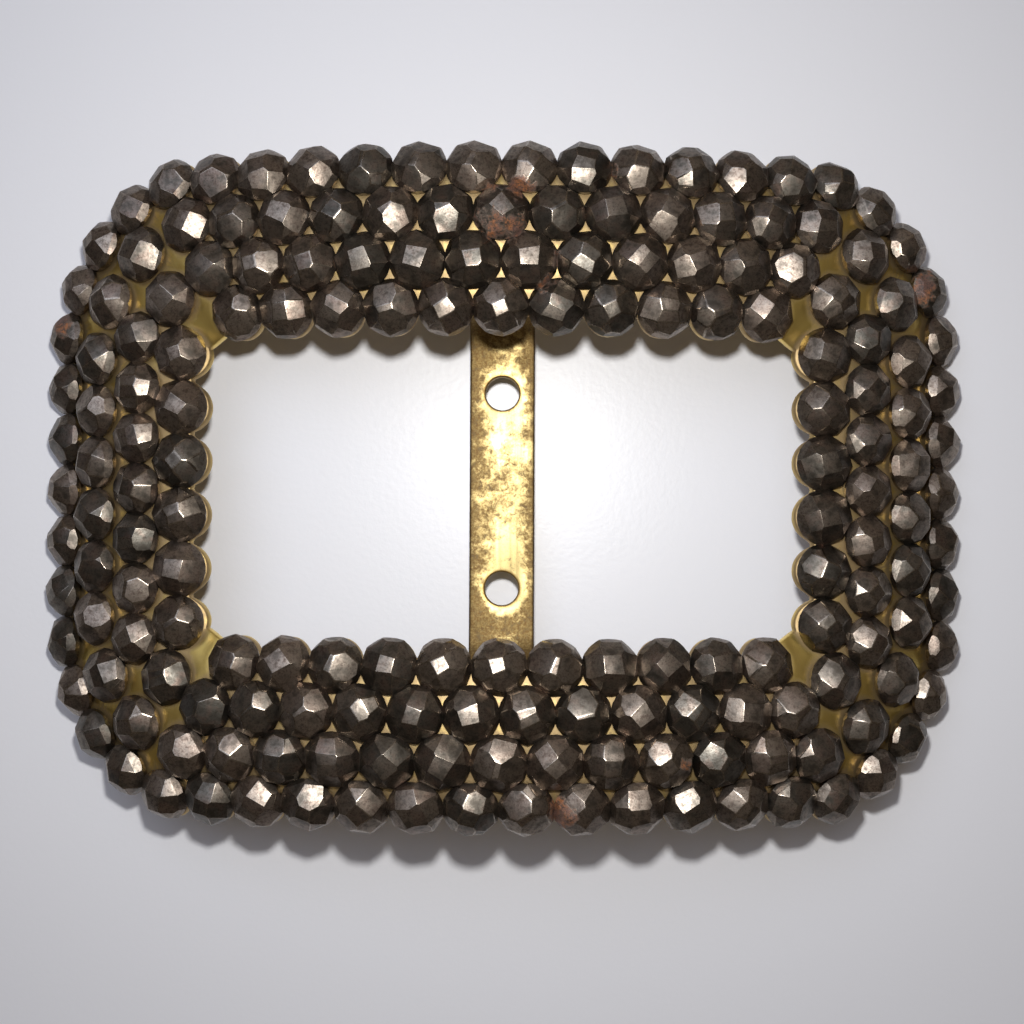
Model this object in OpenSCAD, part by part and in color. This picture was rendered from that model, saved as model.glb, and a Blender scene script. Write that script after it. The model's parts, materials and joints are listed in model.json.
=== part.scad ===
// Slider belt buckle: an arched frame of sheet brass set with four rows of faceted steel studs,
// with a flat brass bar up the middle for the belt. X runs along the belt, Y up the bar, Z out
// of the frame's face. The buckle rests on the table, Z = 0, on the scallops of its two ends.

/* [Arch] */
// Radius of the arch that the frame is bent to, from end to end
arch_r = 70; // [66:1:110]
// Radius of the rounded section of the rails
dome_r = 20; // [19:1:40]

/* [Plate] */
// Thickness of the sheet brass
plate_t = 0.7; // [0.5:0.1:1]
// Width of the rim of sheet outside the outer studs
outer_rim = 0.1; // [0.05:0.05:0.4]
// Width of the rim of sheet round the window
window_rim = 0.2; // [0.05:0.05:0.4]

/* [Studs] */
// Width of the outer studs at their base
stud_w = 3.92; // [3.6:0.02:3.92]
// Height of a stud
stud_h = 1.7; // [1.4:0.1:2.2]
// Step from stud to stud along the top and bottom rails
top_step = 4.12; // [4.1:0.02:4.16]

/* [Bar] */
// Width of the bar
bar_w = 5.2; // [4:0.1:6]
// Thickness of the bar
bar_t = 0.8; // [0.6:0.1:1.2]
// Diameter of the two holes in the bar
bar_hole_d = 2.7; // [2:0.1:2.8]
// Distance between the middles of the two holes
bar_hole_step = 15.7; // [12:0.1:16]

/* [Hidden] */

// Rows of studs from the outside in. half_w and half_h reach to the middles of the side studs and
// of the top studs, measured along the sheet. Then come the number of studs in the run along the
// top, in the run up a side and round one corner, the step along a side, the angle that the arc
// of studs round a corner turns through, and the width of the row's studs against the outer ones.
HALF_W = 0;
HALF_H = 1;
TOP_N = 2;
SIDE_N = 3;
CORNER_N = 4;
SIDE_STEP = 5;
CORNER_TURN = 6;
STUD_SHARE = 7;
ROWS = [
    [37.4, 23.65, 14, 7, 3, 4.12, 62, 1],
    [33.3, 20.2, 13, 6, 2, 4.12, 72, 0.99],
    [29.3, 16.75, 12, 7, 1, 3.92, 27, 0.97],
    [25.75, 13.4, 11, 6, 0, 4.18, 0, 0.98]
];
OUTER = ROWS[0];
INNER = ROWS[3];

seat_gap = 0.05;
outer_lobe_r = stud_w / 2 + outer_rim;
window_lobe_r = stud_w * INNER[STUD_SHARE] / 2 + window_rim;
// Half widths of the stud's table and waist as shares of its base's, and the waist's height as a
// share of the whole
table_share = 0.42;
waist_share = 0.8;
waist_at = 0.5;
STUD_SIDES = 16;
WAIST_SIDES = 8;
TABLE_SIDES = 4;
SPIN_SEED = 41;

// Middle line of the rail, half way between the second and the third row
rail_half_w = (ROWS[1][HALF_W] + ROWS[2][HALF_W]) / 2;
rail_half_h = (ROWS[1][HALF_H] + ROWS[2][HALF_H]) / 2;
rail_corner_r = 8.4;

// Path of the bar's face, seen from the side: flat across the window and well below the rails, so
// that the belt lies straight, a bend of radius bend_r up to a slope, a bend of radius shoulder_r
// over to join_turn, then an arc behind the rail that ends at bar_tip
bar_gap = 0.15;
bar_drop = 9;
bend_r = 2.5;
slope_turn = 75;
shoulder_r = 3.2;
join_turn = 3;
bar_tip = 21.6;
BEND_STEPS = 8;
TUCK_STEPS = 6;

// Points on one scallop, and how far a scallop stops short of the line to the next stud
LOBE_POINTS = 5;
lobe_gap_angle = 32;
// Rings of the sheet between its two scalloped edges: distance from the rail's middle line, and
// the number of points round the ring
RING_AT = 0;
RING_N = 1;
RINGS = [[5.4, 132], [2.7, 120], [0, 120], [-2.7, 112], [-5.4, 104]];

// Height of the rail's rounded section at a distance from its middle line
function dome(s) = sqrt(dome_r * dome_r - s * s) - dome_r;

// Part of a flat point that lies beyond the straight stretch of the rail's middle line
function past_straight(p) =
    [abs(p[0]) - rail_half_w + rail_corner_r, abs(p[1]) - rail_half_h + rail_corner_r];

// Distance of a flat point from the rail's middle line, outwards positive
function rail_offset(p) = let (q = past_straight(p))
    norm([max(q[0], 0), max(q[1], 0)]) + min(max(q[0], q[1]), 0) - rail_corner_r;

// Direction in which that distance grows
function rail_outward(p) = let (
    q = past_straight(p),
    m = min(q[0], q[1]) > 0 ? q / norm(q) : q[0] > q[1] ? [1, 0] : [0, 1])
    [m[0] * (p[0] < 0 ? -1 : 1), m[1] * (p[1] < 0 ? -1 : 1)];

// Turn of the arch at a distance along the sheet, in degrees
function arch_turn(u) = u / arch_r * 180 / PI;

// Place of a flat point, a height above the sheet's face, measured from the arch's top
function on_arch(p, h) = let (
    r = arch_r + dome(rail_offset(p)) + h,
    turn = arch_turn(p[0]))
    [r * sin(turn), p[1], r * cos(turn) - arch_r];

// Height at which the arch's top stands, so that the lowest scallops rest at Z = 0
crest_z = -min([for (p = scallops(row_points(OUTER), outer_lobe_r, true)) on_arch(p, -plate_t)[2]]);

flat_z = crest_z - bar_drop;
tuck_r = dome_r - plate_t - bar_gap;
tuck_turn = asin((bar_tip - rail_half_h) / tuck_r);
// Where the shoulder joins the arc behind the rail, how long the slope is, and where the flat ends
join_y = rail_half_h - tuck_r * sin(join_turn);
join_z = crest_z - dome_r + tuck_r * cos(join_turn);
slope_run = (join_z - flat_z - bend_r * (1 - cos(slope_turn))
    - shoulder_r * (cos(join_turn) - cos(slope_turn))) / sin(slope_turn);
flat_end = join_y - (bend_r + shoulder_r) * sin(slope_turn) - slope_run * cos(slope_turn)
    + shoulder_r * sin(join_turn);

// Place in space of a flat point, a height above the sheet's face
function on_sheet(p, h) = on_arch(p, h) + [0, 0, crest_z];

// Lean of the sheet's face out of the arch's own, in degrees, and the direction square to it
function lean(p) = asin(rail_offset(p) / dome_r);
function face_normal(p) = let (
    n = concat(rail_outward(p) * sin(lean(p)), cos(lean(p))),
    turn = arch_turn(p[0]))
    [n[0] * cos(turn) + n[2] * sin(turn), n[1], n[2] * cos(turn) - n[0] * sin(turn)];

// Least height at which the flat base of a stud of radius r clears the sheet round it
function seat_height(p, r) = seat_gap + max([0, for (i = [0:STUD_SIDES - 1])
    let (a = i * 360 / STUD_SIDES)
        (on_arch(p + r * [cos(a), sin(a)], 0) - on_arch(p, 0)) * face_normal(p)]);

// One run of studs, centred on a side of the frame
function run(n, step) = [for (i = [0:n - 1]) (i - (n - 1) / 2) * step];
// Studs round one corner, evenly along an arc from a to b that turns through an angle
function corner(a, b, n, turn) = n == 0 ? [] : let (
    r = norm(b - a) / 2 / sin(turn / 2),
    middle = (a + b) / 2 - [a[1] - b[1], b[0] - a[0]] / 2 / tan(turn / 2),
    start = atan2(a[1] - middle[1], a[0] - middle[0]))
    [for (i = [1:n]) let (at = start - turn * i / (n + 1)) middle + r * [cos(at), sin(at)]];

// Middles of a row's studs on the flat sheet, clockwise from the top left
function row_points(row) = let (
    top_end = (row[TOP_N] - 1) / 2 * top_step,
    side_end = (row[SIDE_N] - 1) / 2 * row[SIDE_STEP],
    tops = run(row[TOP_N], top_step),
    sides = run(row[SIDE_N], row[SIDE_STEP]),
    w = row[HALF_W],
    h = row[HALF_H],
    n = row[CORNER_N],
    turn = row[CORNER_TURN])
    concat(
        [for (x = tops) [x, h]], corner([top_end, h], [w, side_end], n, turn),
        [for (y = sides) [w, -y]], corner([w, -side_end], [top_end, -h], n, turn),
        [for (x = tops) [-x, -h]], corner([-top_end, -h], [-w, -side_end], n, turn),
        [for (y = sides) [-w, y]], corner([-w, side_end], [-top_end, h], n, turn));

function angle_of(d) = atan2(d[1], d[0]);
// Scalloped edge round a row of studs: an arc about each stud, on its outer or its window side
function scallops(points, r, outside) = let (n = len(points)) [
    for (i = [0:n - 1]) let (
        from_last = angle_of(points[(i + n - 1) % n] - points[i]),
        to_next = angle_of(points[(i + 1) % n] - points[i]),
        sweep = outside ? -((from_last - to_next + 360) % 360) : (to_next - from_last + 360) % 360,
        trim = (sweep < 0 ? -1 : 1) * lobe_gap_angle)
    for (k = [0:LOBE_POINTS - 1]) let (
        a = from_last + trim + (sweep - 2 * trim) * k / (LOBE_POINTS - 1))
        points[i] + r * [cos(a), sin(a)]];

// A row's scallops, starting from the middle of the top
function from_top(outline, row) = let (n = len(outline), first = floor(row[TOP_N] / 2 * LOBE_POINTS))
    [for (i = [0:n - 1]) outline[(i + first) % n]];

// Smooth ring of n points at a distance from the rail's middle line, clockwise from the top
function ring(s, n) = let (
    w = rail_half_w - rail_corner_r,
    h = rail_half_h - rail_corner_r,
    r = rail_corner_r + s,
    half = 2 * w + 2 * h + r * PI)
    [for (i = [0:n - 1]) let (d = i / n * 2 * half)
        d < half ? half_ring(d, w, h, r, r * PI / 2) : -half_ring(d - half, w, h, r, r * PI / 2)];
// Point at a distance along the half ring that runs down the right side, from the top's middle
function half_ring(d, w, h, r, arc) = let (down = w + arc, low = down + 2 * h)
    d < w ? [d, h + r]
    : d < down ? let (a = 90 - (d - w) / arc * 90) [w + r * cos(a), h + r * sin(a)]
    : d < low ? [w + r, h - (d - down)]
    : d < low + arc ? let (a = -(d - low) / arc * 90) [w + r * cos(a), -h + r * sin(a)]
    : [w - (d - low - arc), -h - r];

// Point of a ring of m points that pairs with edge i of a ring of n points
function pair(i, n, m) = floor((i + 0.5) * m / n + 0.5);
// Triangles between a ring of n points that starts at a and one of m points that starts at b,
// a lying outside b and both clockwise from above; up is true on the face
function zip(a, n, b, m, up) = concat(
    [for (i = [0:n - 1]) let (j = pair(i, n, m) % m)
        up ? [a + i, a + (i + 1) % n, b + j] : [a + (i + 1) % n, a + i, b + j]],
    [for (i = [0:n - 1]) let (
        last = i == 0 ? pair(n - 1, n, m) - m : pair(i - 1, n, m),
        next = pair(i, n, m))
        if (next > last) for (j = [last:next - 1]) let (p = (j + m) % m, q = (j + 1 + m) % m)
            up ? [a + i, b + q, b + p] : [a + i, b + p, b + q]]);

// Faceted stud of a base radius: a square table, eight upper facets down to a waist and steep
// ones below
module stud(r) {
    table_r = table_share * r;
    waist_r = waist_share * r;
    waist_h = waist_at * stud_h;
    ring_points = concat(
        [for (i = [0:TABLE_SIDES - 1]) let (a = (i + 0.5) * 360 / TABLE_SIDES)
            [table_r * cos(a), table_r * sin(a), stud_h]],
        [for (i = [0:WAIST_SIDES - 1]) let (a = (i + 0.5) * 360 / WAIST_SIDES)
            [waist_r * cos(a), waist_r * sin(a), waist_h]],
        [for (i = [0:STUD_SIDES - 1]) let (a = (i + 1) * 360 / STUD_SIDES)
            [r * cos(a), r * sin(a), 0]]);
    waist = TABLE_SIDES;
    base = TABLE_SIDES + WAIST_SIDES;
    polyhedron(points = ring_points, faces = concat(
        [[for (i = [0:TABLE_SIDES - 1]) TABLE_SIDES - 1 - i]],
        [for (i = [0:TABLE_SIDES - 1]) let (j = waist + 2 * i)
            [i, waist + (2 * i + 1) % WAIST_SIDES, j]],
        [for (i = [0:TABLE_SIDES - 1]) let (j = waist + 2 * i + 1, k = waist + (2 * i + 2) % WAIST_SIDES)
            [i, (i + 1) % TABLE_SIDES, k, j]],
        [for (i = [0:WAIST_SIDES - 1]) let (
            here = waist + i,
            next = waist + (i + 1) % WAIST_SIDES,
            below = base + 2 * i,
            mid = base + (2 * i + 1) % STUD_SIDES,
            last = base + (2 * i + STUD_SIDES - 1) % STUD_SIDES)
            for (f = [[here, next, mid], [here, mid, below], [here, below, last]]) f],
        [[for (i = [0:STUD_SIDES - 1]) base + i]]));
}

// A row of studs, each square to the sheet and turned by chance about its own axis
module stud_row(row, seed) {
    points = row_points(row);
    spins = rands(0, 360 / TABLE_SIDES, len(points), seed);
    r = stud_w * row[STUD_SHARE] / 2;
    for (i = [0:len(points) - 1]) {
        p = points[i];
        outward = rail_outward(p);
        translate(on_sheet(p, 0) + seat_height(p, r) * face_normal(p))
            rotate([0, arch_turn(p[0]), 0])
                rotate(a = lean(p), v = [-outward[1], outward[0], 0])
                    rotate([0, 0, spins[i]]) stud(r);
    }
}

module outer_studs() { color("dimgray") stud_row(ROWS[0], SPIN_SEED); }
module second_studs() { color("dimgray") stud_row(ROWS[1], SPIN_SEED + 1); }
module third_studs() { color("dimgray") stud_row(ROWS[2], SPIN_SEED + 2); }
module inner_studs() { color("dimgray") stud_row(ROWS[3], SPIN_SEED + 3); }

// Arched and domed sheet with its two scalloped edges
module back_plate() {
    outlines = concat(
        [from_top(scallops(row_points(OUTER), outer_lobe_r, true), OUTER)],
        [for (r = RINGS) ring(r[RING_AT], r[RING_N])],
        [from_top(scallops(row_points(INNER), window_lobe_r, false), INNER)]);
    counts = [for (o = outlines) len(o)];
    starts = [for (i = 0, s = 0; i < len(counts); s = s + counts[i], i = i + 1) s];
    face_points = [for (o = outlines) for (p = o) on_sheet(p, 0)];
    back_points = [for (o = outlines) for (p = o) on_sheet(p, -plate_t)];
    total = len(face_points);
    last = len(outlines) - 1;
    function wall(start, n, outside) = [for (i = [0:n - 1]) let (
        a = start + i,
        b = start + (i + 1) % n)
        for (f = outside ? [[a, a + total, b + total], [a, b + total, b]]
                         : [[a, b + total, a + total], [a, b, b + total]]) f];
    function sheet(first, up) = [for (i = [0:last - 1])
        for (f = zip(first + starts[i], counts[i], first + starts[i + 1], counts[i + 1], up)) f];
    color("darkgoldenrod") polyhedron(
        points = concat(face_points, back_points),
        faces = concat(
            sheet(0, true),
            sheet(total, false),
            wall(starts[0], counts[0], true),
            wall(starts[last], counts[last], false)));
}

// Point at a turn round a bend's middle, as [y, z], where turn 0 is straight up
function round_bend(middle, r, turn) = middle + r * [sin(turn), cos(turn)];

// Side of the upper half of the bar at a depth below its face, as [y, z] from the end of the flat
// stretch to the tip: up round the bend, over the shoulder, then along the inside of the rail
function bar_side(depth) = concat(
    [for (i = [0:BEND_STEPS])
        round_bend([flat_end, flat_z + bend_r], bend_r + depth, 180 - slope_turn * i / BEND_STEPS)],
    [for (i = [0:BEND_STEPS]) let (turn = slope_turn + (join_turn - slope_turn) * i / BEND_STEPS)
        round_bend([join_y, join_z] - shoulder_r * [-sin(join_turn), cos(join_turn)],
            shoulder_r - depth, -turn)],
    [for (i = [1:TUCK_STEPS]) let (turn = -join_turn + (join_turn + tuck_turn) * i / TUCK_STEPS)
        round_bend([rail_half_h, crest_z - dome_r], tuck_r - depth, turn)]);

// Flat bar, with its ends bent up to lie behind the top and bottom rails, and two round holes
module slider_bar() {
    face_side = bar_side(0);
    back_side = bar_side(bar_t);
    n = len(face_side) - 1;
    profile = concat(
        face_side,
        [for (i = [n:-1:0]) back_side[i]],
        [for (p = back_side) [-p[0], p[1]]],
        [for (i = [n:-1:0]) [-face_side[i][0], face_side[i][1]]]);
    color("goldenrod") difference() {
        rotate([90, 0, 90]) linear_extrude(bar_w, center = true) polygon(profile);
        for (side = [-1, 1]) translate([0, side * bar_hole_step / 2, flat_z - 2 * bar_t])
            cylinder(d = bar_hole_d, h = 4 * bar_t, $fn = 48);
    }
}

back_plate();
slider_bar();
outer_studs();
second_studs();
third_studs();
inner_studs();
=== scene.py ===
"""Dresses the slider belt buckle: ground steel studs, pressed brass sheet, worn bar and stage.

The file is laid out as an add-on and is run as a script. Every size is in metres, in the frame of
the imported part: X along the belt, Y up the bar, Z out of the studded face, with the table at 0.
"""

import json
import random
from functools import partial
from math import atan2, copysign, cos, pi, radians, sin, tan, tau

import bmesh
import bpy
import numpy as np
from bpy.props import FloatProperty, FloatVectorProperty, IntProperty, PointerProperty
from bpy.types import Node, NodeSocket, Operator, Panel, PropertyGroup, Scene
from mathutils import Euler, Matrix, Vector

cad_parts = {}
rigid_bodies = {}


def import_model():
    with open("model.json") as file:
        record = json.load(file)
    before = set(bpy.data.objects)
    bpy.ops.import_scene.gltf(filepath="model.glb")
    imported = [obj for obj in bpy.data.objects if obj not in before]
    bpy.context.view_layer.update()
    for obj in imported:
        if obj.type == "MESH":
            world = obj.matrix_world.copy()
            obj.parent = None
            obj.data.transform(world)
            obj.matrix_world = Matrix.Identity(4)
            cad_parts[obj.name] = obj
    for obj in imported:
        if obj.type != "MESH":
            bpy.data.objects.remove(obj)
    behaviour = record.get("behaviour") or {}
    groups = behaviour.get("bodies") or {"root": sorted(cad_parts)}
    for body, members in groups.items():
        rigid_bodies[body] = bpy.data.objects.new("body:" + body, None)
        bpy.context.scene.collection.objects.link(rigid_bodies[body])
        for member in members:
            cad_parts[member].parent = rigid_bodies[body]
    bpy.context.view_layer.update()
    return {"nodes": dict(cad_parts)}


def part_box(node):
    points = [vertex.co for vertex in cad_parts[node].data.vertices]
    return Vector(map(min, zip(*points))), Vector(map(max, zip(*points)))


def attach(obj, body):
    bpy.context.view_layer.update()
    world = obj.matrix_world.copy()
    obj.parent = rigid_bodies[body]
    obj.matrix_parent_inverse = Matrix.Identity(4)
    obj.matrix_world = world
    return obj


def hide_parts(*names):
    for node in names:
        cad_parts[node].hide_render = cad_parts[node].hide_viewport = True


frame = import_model()

bl_info = {
    "name": "Slider belt buckle",
    "version": (1, 0, 0),
    "blender": (4, 5, 0),
    "location": "View3D > Sidebar > Buckle",
    "description": "Dresses a cut steel slider buckle with studs, brass and a stage",
    "category": "Object",
}

MM = 0.001
BODY = "root"
STUD_NODES = ("outer_studs", "second_studs", "third_studs", "inner_studs")
# CAD vertices nearer than this are one point
MERGE = 1e-6
# Digits to which the directions of a stud's faces, and heights on it, are compared
WAY_DIGITS, HEIGHT_DIGITS = 2, 7
# The order round the frame starts this far, in radians, before the left end of the X axis
ORDER_START = 0.01
# Keeps a length and a sign from zero
TINY = 1e-12


def shade(code):
    """Linear RGBA of an sRGB hex colour."""
    parts = [int(code[i:i + 2], 16) / 255 for i in (1, 3, 5)]
    linear = [p / 12.92 if p <= 0.04045 else ((p + 0.055) / 1.055) ** 2.4 for p in parts]
    return (*linear, 1.0)


def socket(sockets, key):
    """A node's socket by identifier, or by name where no identifier is the same."""
    return next((s for s in sockets if s.identifier == key), None) or sockets[key]


def add(tree, kind, inputs=None, **settings):
    """Adds a node, sets its properties, and fills its inputs with values or links.

    A kind without the word Node is a shader's. A node given as an input stands for its first output.
    """
    node = tree.nodes.new(kind if "Node" in kind else "ShaderNode" + kind)
    for name, value in settings.items():
        setattr(node, name, value)
    for key, value in (inputs or {}).items():
        target = node.inputs[key] if isinstance(key, int) else socket(node.inputs, key)
        if isinstance(value, Node):
            value = next(s for s in value.outputs if s.enabled)
        if isinstance(value, NodeSocket):
            tree.links.new(value, target)
        else:
            target.default_value = value
    return node


def number(name, default, description, **more):
    """A setting that is one number."""
    return FloatProperty(name=name, default=default, description=description, **more)


# A setting in metres
length = partial(number, unit="LENGTH")


def tint(name, code, description):
    """A colour setting, from its sRGB hex code."""
    return FloatVectorProperty(
        name=name, subtype="COLOR", size=4, default=shade(code), description=description)


def point(name, default, description):
    """A setting that is a place, in metres."""
    return FloatVectorProperty(name=name, subtype="TRANSLATION", default=default, description=description)


class StudLooks(PropertyGroup):
    """Shape and finish of the steel studs. A share is of the stud's radius."""

    width_share: number("Width share", 1.14, "Most that a stud outgrows its solid", min=1.0, max=1.16)
    lap: length("Lap", 0.00019, "Reach of an edge past half the way to a stud of another row")
    touch: length("Touch", 0.00009, "Reach of an edge past half the way to the next stud in its row")
    lap_tilt: number(
        "Lap tilt", radians(3), "Turn outwards that lifts each stud's inner edge over the next row",
        unit="ROTATION")
    table_half: number("Table", 0.40, "Half diagonal of the table, as a share")
    waist: number("Waist", 0.85, "Distance of the waist's edges from the axis, as a share")
    waist_height: number("Waist height", 0.42, "Height of the waist, as a share")
    height: number("Height", 0.83, "Height of the table, as a share")
    unevenness: number("Unevenness", 1.0, "How far hand grinding strays from a true cut", min=0, max=2)
    edge_round: number("Edge rounding", 0.046, "Width worn off each side of an edge, as a share")
    pillow: number("Pillow", 0.22, "How far polish bends a facet at its edges", min=0, max=0.5)
    kinds: IntProperty(name="Kinds", default=26, min=1, description="Number of different cuts")
    seed: IntProperty(name="Seed", default=7, description="Seed for the cuts and their order")
    dark: tint("Grey patina", "#5f5c55", "Steel under its thin grey patina")
    brown: tint("Brown patina", "#6d584e", "Steel under brown patina")
    bright: tint("Rubbed steel", "#9f9588", "Steel where it is rubbed")
    rust: tint("Rust", "#945c33", "Fresh rust")


class SheetLooks(PropertyGroup):
    """Shape and finish of the brass sheet."""

    arch_radius: length("Arch", 0.070, "Radius of the arch from end to end")
    dome_radius: length("Dome", 0.020, "Radius of the rails' section")
    thickness: length("Thickness", 0.0007, "Thickness of the sheet")
    corner_radius: length("Corner", 0.0084, "Corner radius of the rails' middle line")
    outer_lobe: length("Outer scallop", 0.00206, "Radius of the outer edge's scallops")
    window_lobe: length("Window scallop", 0.00199, "Radius of the window's scallops")
    seat_radius: length("Seat", 0.00206, "Radius of a pressed seat")
    ridge_height: length("Ridge height", 0.00005, "Rise of the sheet between the seats")
    ridge_run: length("Ridge run", 0.0006, "Distance in which the sheet rises")
    bright: tint("Rubbed brass", "#eace78", "Brass where it is clean")
    dull: tint("Dull brass", "#b09970", "Brass under tarnish")


class TailLooks(PropertyGroup):
    """Rivet tails on the back of the sheet."""

    radius: length("Radius", 0.00062, "Radius of a hammered tail")
    height: length("Height", 0.00032, "Height of a hammered tail")


class BarLooks(PropertyGroup):
    """Shape and finish of the bar."""

    hole_radius: length("Hole", 0.00135, "Radius of the two holes")
    hole_place: length("Hole place", 0.00785, "Distance of each hole from the middle")
    # The bright band about this place is partly belt wear and partly a painted highlight
    rub_place: length("Rubbed place", 0.00045, "How far right of the middle the belt rubs")
    edge_round: length("Edge", 0.00014, "Rounding of the bar's edges")
    # Rubbed brass also paints the highlight along the middle and round the holes
    bright: tint("Rubbed brass", "#e2cc8e", "Brass where it is rubbed")
    # The tarnish also paints shade along the edges
    dull: tint("Tarnish", "#a08a5a", "Brown tarnish along the edges")


class StageLooks(PropertyGroup):
    """Floor, light and camera."""

    table_colour: tint("Table", "#dedfe2", "Pale glossy table top")
    flash_power: number("Flash", 0.0765, "Power of the near lamp", unit="POWER")
    flash_size: length("Flash size", 0.006, "Diameter of that lamp")
    flash_place: point("Flash place", (0.0008, 0.0115, 0.097), "Place of that lamp, beside the lens")
    soft_power: number("Soft light", 0.47, "Power of the large soft lamp", unit="POWER")
    soft_size: length("Soft size", 0.34, "Diameter of the soft lamp")
    soft_place: point("Soft place", (-0.10, 0.15, 0.36), "Place of the soft lamp")
    room_light: number("Room", 0.25, "Strength of the light low in the room")
    room_dark: number("Overhead", 0.18, "Strength of the light overhead")
    horizon: number("Walls", 0.4, "Share of the room's light that the far walls give")
    ends: number("Ends", 0.5, "Share of the light that comes from left and right")
    camera_place: point("Camera place", (0.001758, -0.004085, 0.1115), "Place of the lens")
    camera_turn: FloatVectorProperty(
        name="Camera turn", subtype="EULER", description="Turn of the camera from straight down",
        default=(radians(1.2777), radians(0.4985), radians(0.2636)))
    lens: number("Lens", 47.07, "Focal length in mm on a 36 mm frame")


SETTINGS = {
    "stud_looks": StudLooks, "sheet_looks": SheetLooks, "tail_looks": TailLooks, "bar_looks": BarLooks,
    "stage_looks": StageLooks,
}


def new_object(name, mesh):
    """A new object with a mesh, at the origin."""
    piece = bpy.data.objects.new(name, mesh)
    bpy.context.scene.collection.objects.link(piece)
    return piece


def plain_mesh(name, points, faces):
    """A smooth mesh from points and faces."""
    mesh = bpy.data.meshes.new(name)
    mesh.from_pydata([tuple(p) for p in points], [], faces)
    mesh.shade_smooth()
    return mesh


def store(mesh, name, kind, values, domain="POINT"):
    """Writes one named attribute of a mesh."""
    layer = mesh.attributes.new(name, kind, domain)
    field = "vector" if kind == "FLOAT_VECTOR" else "value"
    layer.data.foreach_set(field, np.asarray(values, np.float32).ravel())


def solid_of(name):
    """A CAD node's mesh to work on, with its loose triangles joined."""
    solid = bmesh.new()
    solid.from_mesh(frame["nodes"][name].data)
    bmesh.ops.remove_doubles(solid, verts=solid.verts, dist=MERGE)
    return solid


def mesh_of(solid, name):
    """A worked mesh, done and smooth."""
    mesh = bpy.data.meshes.new(name)
    solid.to_mesh(mesh)
    solid.free()
    mesh.shade_smooth()
    return mesh


def new_material(name):
    """A new material, with the way to add nodes to it and its Object coordinates."""
    material = bpy.data.materials.new(name)
    material.use_nodes = True
    material.node_tree.nodes.clear()
    node = partial(add, material.node_tree)
    return material, node, node("TexCoord").outputs["Object"]


def surfaced(material, node, colour, rough, bump, metal=1.0, **more):
    """The material, with its surface made and joined up."""
    node("OutputMaterial", {"Surface": node("BsdfPrincipled", {
        "Base Color": colour, "Roughness": rough, "Normal": bump, "Metallic": metal, **more})})
    return material


def new_tree(name, sockets):
    """A new Geometry Nodes tree with named inputs, with the way to add nodes to it and its inputs."""
    tree = bpy.data.node_groups.new(name, "GeometryNodeTree")
    for label, kind in sockets.items():
        tree.interface.new_socket(name=label, in_out="INPUT", socket_type="NodeSocket" + kind)
    tree.interface.new_socket(name="Result", in_out="OUTPUT", socket_type="NodeSocketGeometry")
    node = partial(add, tree)
    return tree, node, node("NodeGroupInput").outputs


def end_tree(node, made, finish):
    """Ends a tree: what it made becomes one real mesh in its material."""
    real = node("GeometryNodeRealizeInstances", {"Geometry": made})
    done = node("GeometryNodeSetMaterial", {"Geometry": real, "Material": finish})
    node("NodeGroupOutput", {"Result": done})


def run_tree(worker, tree, values):
    """Runs a tree on an object with these inputs, and keeps the result as the object's plain mesh."""
    modifier = worker.modifiers.new(tree.name, "NODES")
    modifier.node_group = tree
    named = {s.name: s.identifier for s in tree.interface.items_tree if s.in_out == "INPUT"}
    for name, value in values.items():
        modifier[named[name]] = value
    graph = bpy.context.evaluated_depsgraph_get()
    made = bpy.data.meshes.new_from_object(
        worker.evaluated_get(graph), preserve_all_data_layers=True, depsgraph=graph)
    worker.modifiers.remove(modifier)
    if not made.polygons:
        raise RuntimeError(f"{tree.name} made nothing for {worker.name}")
    old = worker.data
    worker.data = made
    bpy.data.meshes.remove(old)
    made.name = worker.name


def hand_over(piece, slot, *nodes):
    """Makes a finished piece ride with the part and hides the solids it stands for. The slot is not used."""
    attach(piece, BODY)
    if nodes:
        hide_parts(*nodes)


def read_studs(name):
    """Seat, table direction, axis and radius of each stud in a CAD node, in order round the frame."""
    solid = solid_of(name)
    solid.verts.index_update()
    solid.faces.index_update()
    seen, studs = set(), []
    for first in solid.verts:
        if first in seen:
            continue
        island = [first]
        seen.add(first)
        for vert in island:
            for edge in vert.link_edges:
                other = edge.other_vert(vert)
                if other not in seen:
                    seen.add(other)
                    island.append(other)
        studs.append(read_stud(island))
    solid.free()
    start = pi + ORDER_START
    return sorted(studs, key=lambda s: (atan2(s["seat"].y, s["seat"].x) + start) % tau)


def read_stud(island):
    """One stud: its base is the widest flat face, and the table's corners are the farthest points from it."""
    flats = {}
    for face in sorted({f for v in island for f in v.link_faces}, key=lambda f: f.index):
        face.normal_update()
        flats.setdefault(tuple(round(c, WAY_DIGITS) for c in face.normal), []).append(face)
    base = max(flats.values(), key=lambda faces: sum(f.calc_area() for f in faces))
    rim = sorted({v for f in base for v in f.verts}, key=lambda v: v.index)
    seat = sum((v.co for v in rim), Vector()) / len(rim)
    axis = -base[0].normal
    top = max(island, key=lambda v: (round((v.co - seat).dot(axis), HEIGHT_DIGITS), v.co.x))
    side = top.co - seat
    side = (side - axis * side.dot(axis)).normalized()
    radius = max((v.co - seat).length for v in rim)
    return {"seat": seat, "axis": axis, "side": side, "radius": radius}


def seat_points(name, studs, lift=0.0, sizes=None):
    """An object of loose points on the seats, with the turn and the size of what is set on each."""
    mesh = bpy.data.meshes.new(name)
    mesh.from_pydata([tuple(s["seat"] + s["axis"] * lift) for s in studs], [], [])
    turns = []
    for s in studs:
        across = s["axis"].cross(s["side"])
        turn = Matrix((s["side"], across, s["axis"])).transposed().to_quaternion()
        turns += [turn.w, turn.x, turn.y, turn.z]
    store(mesh, "seat_turn", "QUATERNION", turns)
    store(mesh, "seat_size", "FLOAT", sizes or [s["radius"] for s in studs])
    return new_object(name, mesh)


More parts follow.
